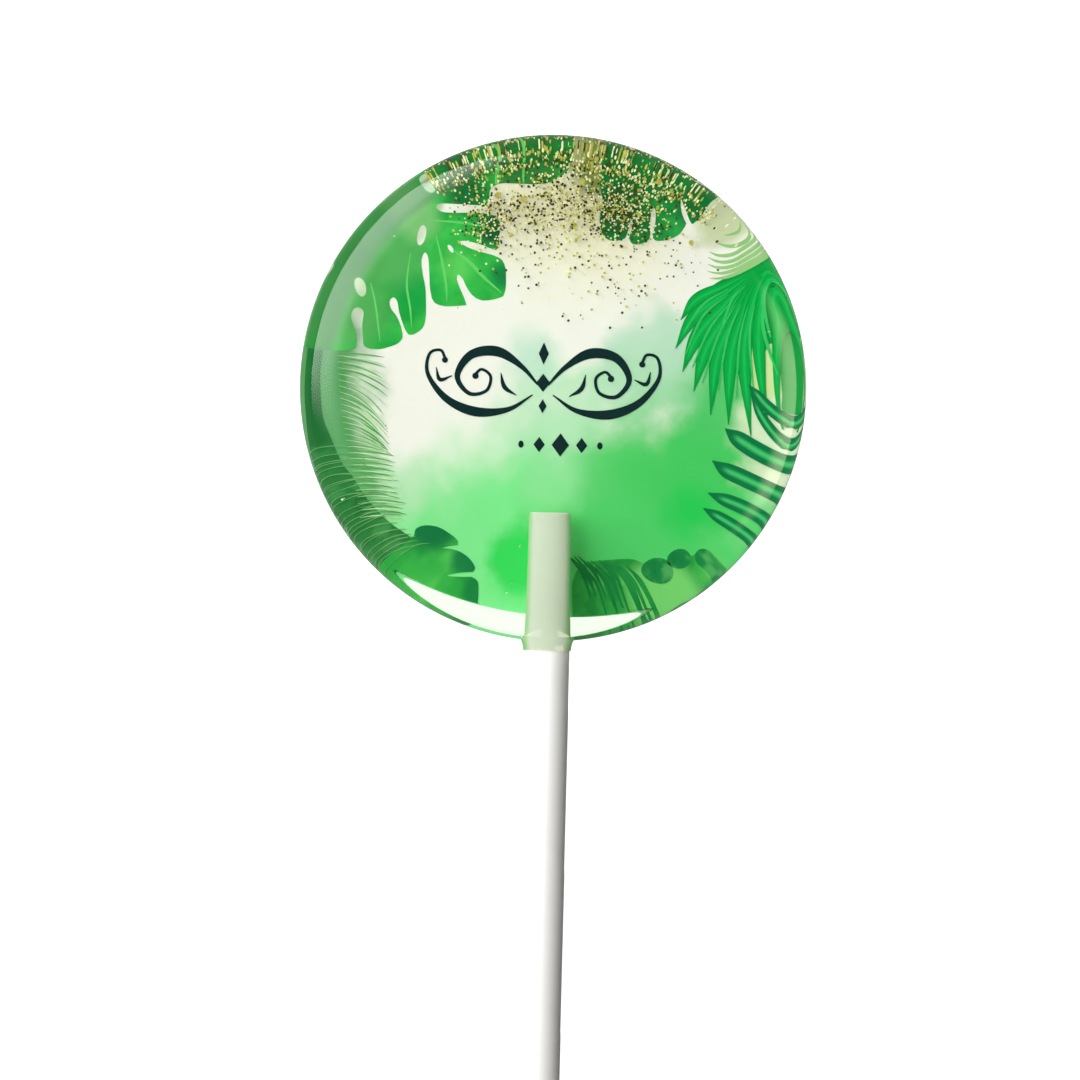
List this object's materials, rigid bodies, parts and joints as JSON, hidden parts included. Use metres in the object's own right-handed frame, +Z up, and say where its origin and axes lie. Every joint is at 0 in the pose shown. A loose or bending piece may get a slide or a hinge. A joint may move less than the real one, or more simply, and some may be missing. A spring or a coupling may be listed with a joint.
{
  "type": "lollipop",
  "caption": "Flat round lollipop of clear hard candy on a white paper stick, with a leafy edible print behind the candy.",
  "frame": {"origin": "centre of the disc's flat back, on the surface that the lollipop lies on", "axes": "+Z up out of the shown front, +Y from the stick towards the top of the disc, +X to the right as the print is looked at"},
  "size_m": [0.05, 0.1373, 0.008],
  "materials": {
    "clear_candy": "polished",
    "edible_print": "matte",
    "paper_stick": "matte",
    "gold_glitter": "polished"
  },
  "bodies": {
    "root": {"candy_disc": "clear_candy", "print_disc": "edible_print", "stick": "paper_stick"}
  },
  "joints": []
}
